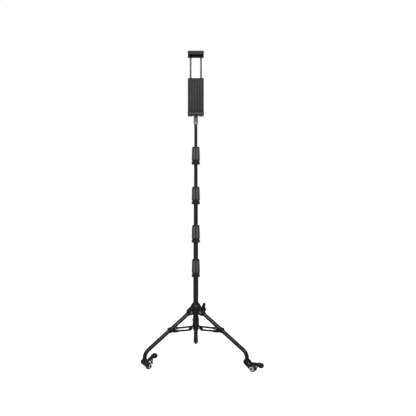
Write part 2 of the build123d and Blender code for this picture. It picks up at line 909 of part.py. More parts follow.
# Head
def make_neck():
    bore = tube_diameter(tube_count) / 2 + running_gap
    thread = ball_stem_radius + press_gap
    with BuildPart() as neck:
        turned(
            [
                (bore, neck_bottom),
                (neck_radius - neck_taper, neck_bottom),
                (neck_radius, neck_bottom + neck_taper),
                (neck_radius, neck_top - 1),
                (neck_radius - 1, neck_top),
                (thread, neck_top),
                (thread, neck_top - ball_stem_depth),
                (0, neck_top - ball_stem_depth),
                (0, neck_bottom + neck_socket_depth),
                (bore, neck_bottom + neck_socket_depth),
            ]
        )
    save(neck, "head_neck")


def make_ball():
    with BuildPart() as ball:
        with Locations((0, 0, ball_height)):
            Sphere(ball_radius)
        with BuildSketch(Plane.XY.offset(neck_top - ball_stem_depth + press_gap)):
            Circle(ball_stem_radius)
        extrude(amount=ball_height - neck_top + ball_stem_depth - ball_radius / 2)
    save(ball, "head_ball")


def make_lock_ring():
    thread = boss_radius + slide_gap
    with BuildPart() as ring:
        turned(
            [
                (ring_mouth_radius, ball_height - ring_bottom_drop),
                (ring_radius - 1, ball_height - ring_bottom_drop),
                (ring_radius, ball_height - ring_bottom_drop + 1),
                (ring_radius, ball_height - ring_top_drop),
                (thread, ball_height - ring_top_drop),
                (thread, ball_height - ring_lip_drop + face_gap),
                (ring_throat_radius, ball_height - ring_lip_drop + face_gap),
                (ring_throat_radius, ball_height - ring_lip_drop),
            ]
        )
        with Locations((0, 0, ball_height - (ring_bottom_drop + ring_top_drop) / 2)):
            with PolarLocations(ring_radius + ring_flute_radius - ring_flute_depth, ring_flute_count):
                Cylinder(ring_flute_radius, ring_bottom_drop - ring_top_drop - 3, mode=Mode.SUBTRACT)
    save(ring, "head_lock_ring")


# Holder
def jaw_block(low, high, width, back, front):
    """Adds a block between two heights and two distances in front of the column's axis."""
    with BuildSketch(Plane.XY.offset(low)) as outline:
        with Locations((0, -(back + front) / 2)):
            Rectangle(width, front - back)
    extrude(outline.sketch, amount=high - low)


def add_front_panel(face):
    """Adds the raised panel on the front of the housing, with its upright grooves."""
    bottom = holder_bottom + panel_margin
    top = holder_top - panel_top_margin
    front = Plane(origin=(0, -face, (bottom + top) / 2), x_dir=(1, 0, 0), z_dir=(0, -1, 0))
    with BuildSketch(front) as panel:
        RectangleRounded(panel_width, top - bottom, panel_corner)
    extrude(panel.sketch, amount=panel_proud)
    with BuildSketch(front.offset(panel_proud)) as grooves:
        with GridLocations(panel_width / panel_groove_count, 1, panel_groove_count, 1):
            SlotOverall(top - bottom - 2 * panel_corner, panel_groove, rotation=90)
    extrude(grooves.sketch, amount=-panel_proud / 2, mode=Mode.SUBTRACT)


def cut_housing_back():
    """Cuts the grooves and the screws' recesses in the back of the housing."""
    groove_top = holder_top - back_groove_spacing
    back = Plane(origin=(0, -holder_back, 0), x_dir=(-1, 0, 0), z_dir=(0, 1, 0))
    with BuildSketch(back) as grooves:
        with Locations((0, (back_groove_bottom + groove_top) / 2)):
            with GridLocations(back_groove_spacing, 1, 3, 1):
                SlotOverall(groove_top - back_groove_bottom, back_groove, rotation=90)
    extrude(grooves.sketch, amount=-back_groove_depth, mode=Mode.SUBTRACT)
    across = holder_width / 2 - housing_fillet - screw_recess_radius
    with BuildSketch(back) as recesses:
        for height in (holder_bottom + screw_margin, holder_top - screw_margin):
            with Locations((across, height), (-across, height)):
                Circle(screw_recess_radius)
    extrude(recesses.sketch, amount=-screw_recess_depth, mode=Mode.SUBTRACT)


def make_holder_body():
    front = holder_back + jaw_reach
    face = holder_back + holder_depth
    socket_bottom = ball_height - ring_lip_drop + 2 * face_gap
    with BuildPart() as body:
        jaw_block(holder_bottom, holder_top, holder_width, holder_back, face)
        fillet(body.edges().filter_by(Axis.Z), housing_fillet)
        fillet(body.faces().sort_by(Axis.Z)[-1].edges(), 1.5)
        jaw_block(holder_bottom, holder_bottom + jaw_thickness, holder_width, holder_back + 4, front)
        lip_top = holder_bottom + jaw_thickness + jaw_lip_height
        jaw_block(holder_bottom, lip_top, holder_width, front - jaw_lip, front)
        with BuildSketch(Plane.XY.offset(ball_height - ring_top_drop + face_gap)):
            Circle(boss_radius + 2)
            with Locations((0, -holder_back / 2)):
                Rectangle(2 * boss_radius, holder_back)
        extrude(amount=boss_top + ring_top_drop)
        with BuildSketch(Plane.XY.offset(socket_bottom)):
            Circle(boss_radius)
        extrude(amount=ball_height - socket_bottom)
        with Locations((0, 0, ball_height)):
            Sphere(ball_radius + running_gap, mode=Mode.SUBTRACT)
        with BuildSketch(Plane.XY.offset(socket_bottom - 1)):
            Circle(ball_radius + running_gap)
        extrude(amount=ball_height - socket_bottom + 1, mode=Mode.SUBTRACT)
        with BuildSketch(Plane.XY.offset(holder_bottom - 1)):
            with Locations((0, -(notch_front + holder_back) / 2 + 1)):
                Rectangle(2 * notch_half_width, notch_front - holder_back + 2)
        extrude(amount=notch_top - holder_bottom + 1, mode=Mode.SUBTRACT)
        add_front_panel(face)
        cut_housing_back()
        rod_places = [(side * rod_spacing / 2, -(holder_back + face) / 2) for side in (-1, 1)]
        with BuildSketch(Plane.XY.offset(holder_top)):
            with Locations(*rod_places):
                Circle(rod_radius + rod_collar_wall)
        extrude(amount=rod_collar_height)
        with BuildSketch(Plane.XY.offset(holder_bottom + rod_floor)):
            with Locations(*rod_places):
                Circle(rod_radius + running_gap)
        extrude(amount=holder_top - holder_bottom, mode=Mode.SUBTRACT)
    save(body, "holder_body")


def make_lower_pad():
    front = holder_back + jaw_reach
    face = holder_back + holder_depth
    shelf = holder_bottom + jaw_thickness
    with BuildPart() as pad:
        jaw_block(shelf, shelf + pad_thickness, holder_width - 4, face, front - jaw_lip)
        with BuildSketch(Plane.XY.offset(shelf)):
            with Locations((0, -front - bumper_proud / 2)):
                Rectangle(bumper_width, bumper_proud)
        extrude(amount=pad_thickness)
    save(pad, "holder_lower_pad")


def make_rods():
    top = holder_bottom + jaw_thickness + pad_thickness + tablet_height + jaw_lip
    with BuildPart() as rods:
        with BuildSketch(Plane.XY.offset(holder_top - rod_insertion)):
            with Locations((0, -holder_back - holder_depth / 2)):
                with GridLocations(rod_spacing, 1, 2, 1):
                    Circle(rod_radius)
        extrude(amount=top - holder_top + rod_insertion)
    save(rods, "holder_rods")


def make_upper_jaw():
    grip = holder_bottom + jaw_thickness + pad_thickness + tablet_height
    front = holder_back + jaw_reach
    face = holder_back + holder_depth
    shelf = grip + pad_thickness
    top = shelf + jaw_thickness
    rod_top = grip + jaw_lip
    with BuildPart() as jaw:
        jaw_block(top - upper_jaw_height, top, holder_width, holder_back, face)
        fillet(jaw.edges().filter_by(Axis.Z), housing_fillet)
        jaw_block(shelf, top, holder_width, holder_back + 4, front)
        jaw_block(shelf - jaw_lip_height, top, holder_width, front - jaw_lip, front)
        with BuildSketch(Plane.XY.offset(rod_top + press_gap)):
            with Locations((0, -holder_back - holder_depth / 2)):
                with GridLocations(rod_spacing, 1, 2, 1):
                    Circle(rod_radius + press_gap)
        extrude(amount=-upper_jaw_height, mode=Mode.SUBTRACT)
        with BuildSketch(Plane.XY.offset(top)):
            for groove in range(3):
                with Locations((0, -face - groove * jaw_groove_pitch)):
                    SlotOverall(holder_width - 4 * housing_fillet, jaw_groove)
        extrude(amount=-jaw_groove_depth, mode=Mode.SUBTRACT)
    save(jaw, "holder_upper_jaw")

    with BuildPart() as pad:
        jaw_block(grip, shelf, holder_width - 4, face, front - jaw_lip)
    save(pad, "holder_upper_pad")


def main():
    os.makedirs("parts", exist_ok=True)
    for number in range(1, tube_count + 1):
        make_column_tube(number)
    for number in range(2, tube_count + 1):
        make_tube_plug(number)
    make_end_cap()
    for number in range(1, tube_count):
        make_lock_base(number)
        make_lock_collet(number)
        make_lock_grip(number)
    make_lower_collar()
    make_collar_pins()
    make_leg_hub()
    make_hub_pins()
    make_hub_knob()
    make_knob_screw()
    for side_name in leg_azimuths:
        make_leg(side_name)
        make_strut(side_name)
        make_caster(side_name)
    make_neck()
    make_ball()
    make_lock_ring()
    make_holder_body()
    make_lower_pad()
    make_rods()
    make_upper_jaw()


main()
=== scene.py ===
"""Looks of the telescopic tripod stand: its finishes, its small trim and rubber, and the studio.

Each piece is modelled in millimetres in a frame on its own axis, and rides on the body that
carries it. Sizes that a piece shares with the solids it sits on repeat the solids' values.
"""

import json
from math import atan2, cos, pi, radians, sin

import bmesh
import bpy
from mathutils import Matrix, Vector


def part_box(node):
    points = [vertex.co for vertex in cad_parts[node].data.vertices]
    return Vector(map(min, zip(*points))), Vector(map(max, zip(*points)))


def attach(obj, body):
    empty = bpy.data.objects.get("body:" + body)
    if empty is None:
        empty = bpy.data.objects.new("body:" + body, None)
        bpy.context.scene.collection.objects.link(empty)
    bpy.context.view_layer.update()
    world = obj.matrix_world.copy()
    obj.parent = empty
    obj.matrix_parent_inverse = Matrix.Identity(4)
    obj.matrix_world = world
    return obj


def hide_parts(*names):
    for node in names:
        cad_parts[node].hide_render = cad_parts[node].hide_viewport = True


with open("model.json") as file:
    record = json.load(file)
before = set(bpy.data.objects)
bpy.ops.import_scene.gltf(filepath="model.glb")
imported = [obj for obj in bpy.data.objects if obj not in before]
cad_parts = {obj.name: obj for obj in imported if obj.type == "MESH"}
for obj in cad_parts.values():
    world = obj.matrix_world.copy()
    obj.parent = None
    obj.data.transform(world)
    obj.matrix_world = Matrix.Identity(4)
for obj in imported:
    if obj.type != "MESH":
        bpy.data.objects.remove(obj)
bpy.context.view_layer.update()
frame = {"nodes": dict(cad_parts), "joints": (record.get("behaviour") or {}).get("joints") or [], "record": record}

MM = 0.001
NEARLY_ZERO = 1e-6
# Nearly all of a noise pattern lies between these two values
PATTERN_LOW, PATTERN_HIGH = 0.3, 0.7


# Helpers for colours, patterns and finishes
def linear(hex_colour):
    """An sRGB hex colour as linear RGBA."""
    channels = [int(hex_colour[i:i + 2], 16) / 255 for i in (1, 3, 5)]
    return [c / 12.92 if c <= 0.04045 else ((c + 0.055) / 1.055) ** 2.4 for c in channels] + [1.0]


def add_node(tree, kind, settings=None, links=None):
    """Adds a node: settings by input name or property name, links as {input: output socket}."""
    node = tree.nodes.new("ShaderNode" + kind)
    for key, value in (settings or {}).items():
        if isinstance(key, int) or key in node.inputs:
            node.inputs[key].default_value = value
        else:
            setattr(node, key, value)
    for key, socket in (links or {}).items():
        tree.links.new(socket, node.inputs[key])
    return node


def grain(tree, size_mm, stretch=(1, 1, 1), detail=2.0, roughness=0.5):
    """Noise whose grains are size_mm across, drawn out by stretch along X, Y and Z."""
    place = add_node(tree, "TexCoord").outputs["Object"]
    scale = [1 / s for s in stretch]
    shaped = add_node(tree, "Mapping", {"Scale": scale}, {"Vector": place}).outputs[0]
    noise = add_node(
        tree, "TexNoise",
        {"Scale": 1 / (size_mm * MM), "Detail": detail, "Roughness": roughness},
        {"Vector": shaped},
    )
    return noise.outputs["Fac"]


def shaded(tree, pattern, low_colour, high_colour, low=PATTERN_LOW, high=PATTERN_HIGH):
    """Colour that goes from one shade to the other as the pattern goes from low to high."""
    part_way = add_node(tree, "MapRange", {"From Min": low, "From Max": high}, {"Value": pattern})
    mixed = add_node(
        tree, "Mix",
        {"data_type": "RGBA", 6: linear(low_colour), 7: linear(high_colour)},
        {0: part_way.outputs["Result"]},
    )
    return mixed.outputs[2]


def worn_edges(tree, colour, softened, worn_colour):
    """The colour with its convex edges rubbed in patches, where hands and bags touch them."""
    # The rounded normal turns from the face's own only near an edge: the more, the more rubbed
    face = add_node(tree, "NewGeometry").outputs["Normal"]
    alike = add_node(tree, "VectorMath", {"operation": "DOT_PRODUCT"}, {0: softened, 1: face})
    edge = add_node(
        tree, "MapRange", {"From Min": 0.985, "From Max": 0.88}, {"Value": alike.outputs["Value"]})
    patch = add_node(
        tree, "MapRange", {"From Min": 0.35, "From Max": 0.7, "To Max": 0.7},
        {"Value": grain(tree, 3.0)})
    rubbed = add_node(
        tree, "Math", {"operation": "MULTIPLY"},
        {0: edge.outputs["Result"], 1: patch.outputs["Result"]})
    mixed = add_node(
        tree, "Mix", {"data_type": "RGBA", 7: linear(worn_colour)},
        {0: rubbed.outputs[0], 6: colour})
    return mixed.outputs[2]


def new_material(name, **sockets):
    """A material with an empty tree but for its shader, whose sockets take the plain numbers."""
    material = bpy.data.materials.new(name)
    material.use_nodes = True
    tree = material.node_tree
    tree.nodes.clear()
    settings = {key.replace("_", " "): value for key, value in sockets.items()}
    shader = add_node(tree, "BsdfPrincipled", settings)
    add_node(tree, "OutputMaterial", links={"Surface": shader.outputs[0]})
    return material, tree, shader


def finish_surface(
        tree, shader, colour, pattern, roughness, height, depth_mm, edge_mm=0.0, worn=None):
    """Joins a colour, a roughness that follows the pattern, and a bump of depth_mm to the shader.

    edge_mm rounds the edges, as moulds and tumbling leave them, and worn is their rubbed colour.
    """
    bump = add_node(tree, "Bump", {"Strength": 1.0, "Distance": depth_mm * MM}, {"Height": height})
    if edge_mm:
        bevel = add_node(tree, "Bevel", {"samples": 4, "Radius": edge_mm * MM})
        tree.links.new(bevel.outputs["Normal"], bump.inputs["Normal"])
        if worn:
            colour = worn_edges(tree, colour, bevel.outputs["Normal"], worn)
    gloss = add_node(
        tree, "MapRange",
        {"From Min": PATTERN_LOW, "From Max": PATTERN_HIGH,
         "To Min": roughness[0], "To Max": roughness[1]},
        {"Value": pattern},
    )
    tree.links.new(colour, shader.inputs["Base Color"])
    tree.links.new(gloss.outputs["Result"], shader.inputs["Roughness"])
    tree.links.new(bump.outputs["Normal"], shader.inputs["Normal"])


# Materials. Mould grain, draw and grinding marks, and turning rings are usually about 0.1 mm
# across: they're drawn 0.35 to 0.7 mm across, as coarse as they need to be to show
def moulded_plastic(name, dark, light, worn, roughness, grain_mm, depth_mm, edge_mm, specular):
    """Injection moulding: an etched mould gives a fine matte grain, and handling polishes edges."""
    material, tree, shader = new_material(name, IOR=1.53, Specular_IOR_Level=specular)
    fine = grain(tree, grain_mm, detail=3.0)
    broad = grain(tree, 14.0)
    colour = shaded(tree, broad, dark, light)
    finish_surface(
        tree, shader, colour, broad, (roughness - 0.04, roughness + 0.05), fine, depth_mm,
        edge_mm, worn)
    return material


def anodised_aluminium_tube():
    """Drawn aluminium tube, etched and anodised black: satin, with fine marks along its length."""
    material, tree, shader = new_material(
        "drawn_aluminium_anodised_black", Metallic=0.7, Specular_IOR_Level=0.3)
    drawn = grain(tree, 0.6, stretch=(1, 1, 90), detail=1.0)
    rubbed = grain(tree, 3.0, stretch=(1, 1, 30))
    colour = shaded(tree, rubbed, "#222325", "#2f3033", high=0.75)
    finish_surface(tree, shader, colour, rubbed, (0.36, 0.28), drawn, 0.006)
    return material


def powder_coated_steel():
    """Welded steel tube, bent and powder coated black: glossy satin, with a faint orange peel."""
    material, tree, shader = new_material(
        "steel_tube_powder_coated_black", IOR=1.5, Specular_IOR_Level=0.3)
    peel = grain(tree, 1.1, detail=1.0)
    colour = shaded(tree, grain(tree, 16.0), "#08080a", "#0d0d0f")
    finish_surface(tree, shader, colour, peel, (0.2, 0.27), peel, 0.02, 0.3)
    return material


def turned_aluminium():
    """Neck turned on a lathe and clear anodised: pale grey, with fine rings round its axis."""
    material, tree, shader = new_material("turned_aluminium_clear_anodised", Metallic=0.9)
    rings = grain(tree, 0.35, stretch=(400, 400, 1))
    colour = shaded(tree, grain(tree, 6.0), "#a2a3a4", "#b4b5b6")
    finish_surface(tree, shader, colour, rings, (0.3, 0.42), rings, 0.02, 0.3)
    return material


def ground_steel():
    """Ground steel rod or ball, left bright: satin, with fine marks along the rod."""
    material, tree, shader = new_material("ground_steel_satin", Metallic=1.0)
    ground = grain(tree, 0.4, stretch=(1, 1, 60))
    colour = shaded(tree, ground, "#4c4e51", "#5c5e61")
    finish_surface(tree, shader, colour, ground, (0.3, 0.4), ground, 0.004)
    return material


def zinc_plated_steel():
    """Rivets and screws, headed and zinc plated: grey, a little cloudy."""
    material, tree, shader = new_material("headed_steel_zinc_plated", Metallic=0.9)
    cloud = grain(tree, 1.5, detail=3.0)
    colour = shaded(tree, cloud, "#6d6f72", "#8a8c8e")
    finish_surface(tree, shader, colour, cloud, (0.32, 0.5), cloud, 0.01, 0.25)
    return material


def moulded_rubber(name, dark, light):
    """Rubber cured in a blasted mould: dull, with a fine dusty bloom."""
    material, tree, shader = new_material(name, IOR=1.52, Sheen_Weight=0.12)
    fine = grain(tree, 0.7, detail=3.0)
    bloom = grain(tree, 9.0, detail=3.0)
    colour = shaded(tree, bloom, dark, light, high=0.75)
    finish_surface(tree, shader, colour, bloom, (0.65, 0.82), fine, 0.03, 0.4)
    return material


def wheel_nylon():
    """Wheel core of natural nylon, moulded: pale, slightly waxy, greyed by dust in patches."""
    material, tree, shader = new_material(
        "moulded_nylon_natural", IOR=1.53, Subsurface_Weight=0.08,
        Subsurface_Radius=(2 * MM, 2 * MM, 2 * MM))
    dirt = grain(tree, 2.4, detail=4.0, roughness=0.6)
    colour = shaded(tree, dirt, "#cfcfcb", "#a3a39e", low=0.35, high=0.75)
    finish_surface(tree, shader, colour, dirt, (0.4, 0.6), dirt, 0.02, 0.4)
    return material


MATERIALS = {
    "anodised": anodised_aluminium_tube(),
    "powder_coat": powder_coated_steel(),
    # ABS grips: charcoal, etched matte, a shade lighter where hands turn them
    "lock_plastic": moulded_plastic(
        "moulded_abs_charcoal", dark="#202022", light="#28292a", worn="#46474a",
        roughness=0.42, grain_mm=0.6, depth_mm=0.02, edge_mm=0.6, specular=0.2),
    # Glass-filled nylon: black, stiff, a little fibrous in its sheen
    "nylon": moulded_plastic(
        "moulded_glass_nylon_black", dark="#0f0f11", light="#161618", worn="#2c2d2f",
        roughness=0.36, grain_mm=0.5, depth_mm=0.02, edge_mm=0.5, specular=0.2),
    "steel_pin": zinc_plated_steel(),
    "neck_metal": turned_aluminium(),
    # ABS housing: black, fine etched
    "holder_plastic": moulded_plastic(
        "moulded_abs_black", dark="#141416", light="#1b1b1d", worn="#313234",
        roughness=0.36, grain_mm=0.5, depth_mm=0.015, edge_mm=0.6, specular=0.25),
    "pad_rubber": moulded_rubber("moulded_rubber_grey", "#3a3a3c", "#4a4a4c"),
    "rod_steel": ground_steel(),
    "wheel_nylon": wheel_nylon(),
}
TYRE_RUBBER = moulded_rubber("moulded_rubber_tyre_black", "#2b2b2d", "#444446")
# Grey rubber of the grip pads: partly its own colour, partly painted light that makes the lands lighter than the
# flutes
GRIP_RUBBER_AND_PAINTED_LIGHT = moulded_rubber("moulded_rubber_grip_grey_painted_light", "#444547", "#505153")
# ABS lock bases: black, smoother than the grips that turn on them
LOCK_BASE = moulded_plastic(
    "moulded_abs_black_lock_base", dark="#111113", light="#18181a", worn="#343537",
    roughness=0.3, grain_mm=0.6, depth_mm=0.02, edge_mm=0.5, specular=0.3)

for part in frame["record"]["subparts"]:
    mesh = frame["nodes"][part["node"]].data
    mesh.materials.clear()
    lock_base = part["node"].startswith("twist_lock") and part["node"].endswith("base")
    mesh.materials.append(LOCK_BASE if lock_base else MATERIALS[part["material_slot"]])
    mesh.polygons.foreach_set("material_index", [0] * len(mesh.polygons))


JOINTS = {joint["name"]: joint for joint in frame["joints"]}
CASTERS = ("left", "right", "rear")


# Mesh tools: sizes in millimetres, in a frame whose Z is the piece's own axis
def axis_frame(origin, axis, up=(0, 0, 1)):
    """Matrix at origin (metres) with Z along the axis, Y as near up as it can be, scaled to mm."""
    z = Vector(axis).normalized()
    x = Vector(up).cross(z)
    x = x.normalized() if x.length > NEARLY_ZERO else Vector((1, 0, 0))
    y = z.cross(x)
    turn = Matrix((x, y, z)).transposed().to_4x4()
    return Matrix.Translation(Vector(origin)) @ turn @ Matrix.Scale(MM, 4)


def outward_frame(origin, level, lift):
    """Frame at origin (metres): X out along level and up by lift, Z level across it."""
    across = level.cross((0, 0, 1))
    out = level * cos(lift) + Vector((0, 0, 1)) * sin(lift)
    turn = Matrix((out, across.cross(out), across)).transposed()
    return Matrix.Translation(origin) @ turn.to_4x4() @ Matrix.Scale(MM, 4)


def joint_frame(name):
    """Frame on a hinge's axis, at its point."""
    return axis_frame(JOINTS[name]["pos_m"], JOINTS[name]["axis"])


def add_turned(bm, outline, place, steps=48):
    """Turns a closed outline of (radius, height) round the frame's Z; radius 0 closes on it."""
    turns = [2 * pi * k / steps for k in range(steps)]
    rings = []
    for radius, height in outline:
        if radius < NEARLY_ZERO:
            points = [(0, 0, height)]
        else:
            points = [(radius * cos(a), radius * sin(a), height) for a in turns]
        rings.append([bm.verts.new(place @ Vector(point)) for point in points])
    for low, high in zip(rings, rings[1:] + rings[:1]):
        if len(low) == 1 and len(high) == 1:
            continue
        for k in range(steps):
            n = (k + 1) % steps
            if len(low) == 1:
                corners = (low[0], high[n], high[k])
            elif len(high) == 1:
                corners = (low[k], low[n], high[0])
            else:
                corners = (low[k], low[n], high[n], high[k])
            bm.faces.new(corners)


def add_prism(bm, outline, low, high, place, bevel=0.0, top_outline=None):
    """Prism of a plan outline of (x, y) points between two heights, its edges rounded by bevel."""
    foot = [bm.verts.new(place @ Vector((x, y, low))) for x, y in outline]
    top = [bm.verts.new(place @ Vector((x, y, high))) for x, y in top_outline or outline]
    faces = [bm.faces.new(foot[::-1]), bm.faces.new(top)]
    for k, corner in enumerate(foot):
        n = (k + 1) % len(foot)
        faces.append(bm.faces.new((corner, foot[n], top[n], top[k])))
    if bevel:
        edges = {edge for face in faces for edge in face.edges}
        bmesh.ops.bevel(
            bm, geom=list(edges), offset=bevel * MM, segments=2, profile=0.6, affect="EDGES",
            clamp_overlap=True)


def add_framed(bm, outer, inner, low, high, place):
    """Plate with a hole: two plan outlines with as many points each, between two heights."""
    loops = [[bm.verts.new(place @ Vector((x, y, z))) for x, y in line]
             for line, z in ((outer, low), (outer, high), (inner, high), (inner, low))]
    for near, far in zip(loops, loops[1:] + loops[:1]):
        for k in range(len(outer)):
            n = (k + 1) % len(outer)
            bm.faces.new((near[k], near[n], far[n], far[k]))


def add_lofted(bm, sections, place, corner=0.55, around=28):
    """Lofts rounded rectangles through stations of (along, low, high, side, side), ends closed.

    The smaller the corner, the squarer the section.
    """
    rings = []
    for along, low, high, near, far in sections:
        ring = []
        for k in range(around):
            a = 2 * pi * k / around
            up = abs(sin(a)) ** corner * (1 if sin(a) > 0 else -1)
            across = abs(cos(a)) ** corner * (1 if cos(a) > 0 else -1)
            y = ((low + high) + up * (high - low)) / 2
            z = ((near + far) + across * (far - near)) / 2
            ring.append(bm.verts.new(place @ Vector((along, y, z))))
        rings.append(ring)
    for low_ring, high_ring in zip(rings, rings[1:]):
        for k in range(around):
            n = (k + 1) % around
            bm.faces.new((low_ring[k], low_ring[n], high_ring[n], high_ring[k]))
    bm.faces.new(rings[0][::-1])
    bm.faces.new(rings[-1])


def round_box(width, depth, corner, steps=5):
    """Plan outline of a rectangle with rounded corners, centred on the origin."""
    across, along = width / 2 - corner, depth / 2 - corner
    points = []
    for quarter, (sx, sy) in enumerate(((1, 1), (-1, 1), (-1, -1), (1, -1))):
        for k in range(steps + 1):
            a = pi / 2 * (quarter + k / steps)
            points.append((sx * across + corner * cos(a), sy * along + corner * sin(a)))
    return points


def finish_piece(bm, name, material, body, crease=35):
    """Closes a mesh into an object that rides on a body and takes the finish it is given."""
    bmesh.ops.recalc_face_normals(bm, faces=bm.faces)
    mesh = bpy.data.meshes.new(name)
    bm.to_mesh(mesh)
    bm.free()
    mesh.materials.append(material)
    mesh.shade_smooth()
    mesh.set_sharp_from_angle(angle=radians(crease))
    piece = bpy.data.objects.new(name, mesh)
    bpy.context.scene.collection.objects.link(piece)
    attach(piece, body)
    return piece


# Wheels: a black tyre on a pale core with spokes, in place of the plain solid wheels
wheel_radius = 10.5
wheel_width = 9.0
wheel_steps = 64
tyre_seat = 8.0
tyre_groove_depth = 0.45
core_bore = 2.1
core_hub = 4.2
core_rim = 6.4
core_web = 1.1
spoke_count = 6
spoke_width = 1.2
spoke_inset = 1.5


def tyre_outline():
    """Tyre section: crowned, with two shallow grooves round the tread."""
    half = wheel_width / 2
    floor = wheel_radius - tyre_groove_depth
    tread = [(-half + 1.1, wheel_radius - 0.35), (-1.7, wheel_radius), (-1.4, floor),
             (-0.9, floor), (-0.6, wheel_radius)]
    side = [(half, wheel_radius - 1.4), (half, tyre_seat + 0.5), (half - 0.5, tyre_seat)]
    section = [point for line in (tread, side)
               for point in (line + [(-x, r) for x, r in reversed(line)])]
    return [(r, x) for x, r in section]


def make_wheel(side_name):
    place = joint_frame(f"wheel_{side_name}_spin")
    body = f"wheel_{side_name}"
    half = wheel_width / 2
    bm = bmesh.new()
    add_turned(bm, tyre_outline(), place, wheel_steps)
    finish_piece(bm, f"tyre_{side_name}", TYRE_RUBBER, body, 30)
    bm = bmesh.new()
    rim = [(tyre_seat, half - 0.6), (tyre_seat - 0.4, half - 0.3), (core_rim + 0.3, half - 0.3),
           (core_rim, half - 0.7), (core_rim - 0.2, core_web), (core_hub + 0.4, core_web),
           (core_hub, half - 0.6), (core_hub - 0.3, half), (core_bore, half)]
    add_turned(bm, rim + [(r, -x) for r, x in reversed(rim)], place, wheel_steps)
    # Each spoke runs from the hub's side into the rim's
    spoke = round_box(spoke_width, core_rim - core_hub + 0.8, 0.3, 2)
    for k in range(spoke_count):
        turn = place @ Matrix.Rotation(2 * pi * k / spoke_count, 4, "Z")
        middle = turn @ Matrix.Translation((0, (core_hub + core_rim) / 2, 0))
        add_prism(bm, spoke, spoke_inset - half, half - spoke_inset, middle)
    core = finish_piece(
        bm, f"wheel_core_{side_name}", MATERIALS["wheel_nylon"], body, 30)
    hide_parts(f"caster_{side_name}_wheel")


# Casters: a pale nylon washer under each axle head, and a rivet at each end of the pedal's pin
cheek_face = 7.6
axle_head_radius = 3.5
washer_radius = 7.0
washer_height = 0.8
rivet_radius = 2.3


def make_axle_washers(side_name):
    place = joint_frame(f"wheel_{side_name}_spin")
    inner = axle_head_radius + 0.1
    bm = bmesh.new()
    for side in (-1, 1):
        low, high = side * (cheek_face - 0.05), side * (cheek_face + washer_height)
        section = [
            (inner, low), (washer_radius - 0.3, low), (washer_radius, low + side * 0.25),
            (washer_radius, high - side * 0.3), (washer_radius - 0.4, high),
            (inner + 0.5, high - side * 0.1), (inner, high - side * 0.3),
        ]
        add_turned(bm, section, place)
    finish_piece(
        bm, f"axle_washers_{side_name}", MATERIALS["wheel_nylon"], f"caster_{side_name}")


def make_pedal_rivets(side_name):
    place = joint_frame(f"pedal_{side_name}_press")
    bm = bmesh.new()
    for side in (-1, 1):
        low, face = side * (cheek_face - 0.1), side * cheek_face
        section = [
            (0, low), (rivet_radius, low), (rivet_radius, face + side * 0.4),
            (rivet_radius * 0.8, face + side * 0.8), (rivet_radius * 0.5, face + side * 1.0),
            (0, face + side * 1.05),
        ]
        add_turned(bm, section, place, 32)
    finish_piece(
        bm, f"pedal_rivets_{side_name}", MATERIALS["steel_pin"], f"caster_{side_name}")


# Brake pedals: a rounded lever that thickens to a chunky pad, and a pierced web with the shoe
pedal_raised = radians(19.0)
pedal_pressed = radians(3.5)
pedal_angles = {"left": pedal_raised, "right": pedal_pressed, "rear": pedal_raised}
pedal_sections = (
    # along the lever, underside, top, half width
    (-2.9, -1.2, 1.2, 4.2), (-2.2, -2.3, 2.3, 4.5), (0.5, -3.0, 3.3, 4.5), (6.6, -2.0, 3.5, 4.5),
    (9.6, -2.6, 3.6, 5.4), (14.0, -4.0, 3.8, 5.5), (22.0, -4.6, 3.9, 5.8), (28.5, -5.4, 3.9, 7.2),
    (32.5, -8.6, 3.9, 8.2), (36.0, -10.2, 3.9, 8.2), (41.5, -10.4, 3.7, 8.2),
    (44.0, -9.4, 2.4, 7.6), (44.9, -7.0, 0.2, 6.4),
)
web_outline = (
    (12.0, -2.0), (13.6, -5.6), (16.2, -8.2), (17.6, -10.6), (18.5, -13.2), (18.9, -16.2),
    (20.4, -17.2), (22.4, -15.6), (24.6, -12.6), (26.4, -8.8), (28.0, -5.4), (29.5, -2.2),
    (21.0, -2.0),
)
web_hole = (21.0, -8.8)
web_hole_radius = 2.5
web_half_width = 1.3
# The axle seen from the pedal's hinge, level and upright
pedal_to_axle = (8.5, -15.3)
shoe_half_width = 4.2
shoe_gap = 0.35
shoe_thickness = 2.2
shoe_start, shoe_end = -16.0, 33.0
tread_starts = (26.6, 30.2, 33.8, 37.4, 41.0)
tread_foot, tread_top = 3.4, 4.5
tread_width = 1.9
tread_slant = 0.3
tread_half_width = 7.0
# Nearer the hinge than this the lever has not widened enough for a full rib
pad_start = 28.0
neck_tread_half_width = 5.2


def pedal_frame(side_name):
    """Frame on the pedal's hinge, X along the lever."""
    joint = JOINTS[f"pedal_{side_name}_press"]
    origin = Vector(joint["pos_m"])
    low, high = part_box(f"caster_{side_name}_pedal")
    level = Vector((0, 0, 1)).cross(Vector(joint["axis"])).normalized()
    if level.dot((low + high) / 2 - origin) < 0:
        level = -level
    return outward_frame(origin, level, pedal_angles[side_name])


def shoe_outline():
    """Brake shoe: an arc just off the tyre when the pedal is down."""
    across, down = pedal_to_axle
    x = across * cos(pedal_pressed) + down * sin(pedal_pressed)
    y = down * cos(pedal_pressed) - across * sin(pedal_pressed)
    near, far = wheel_radius + shoe_gap, wheel_radius + shoe_gap + shoe_thickness
    turns = [radians(shoe_start + (shoe_end - shoe_start) * k / 8) for k in range(9)]
    inner = [(x + near * cos(a), y + near * sin(a)) for a in turns]
    return inner + [(x + far * cos(a), y + far * sin(a)) for a in reversed(turns)]


def web_hole_outline():
    """Round hole of the web, one point opposite each point of its outline."""
    x, y = web_hole
    turns = [atan2(b - y, a - x) for a, b in web_outline]
    return [(x + web_hole_radius * cos(a), y + web_hole_radius * sin(a)) for a in turns]


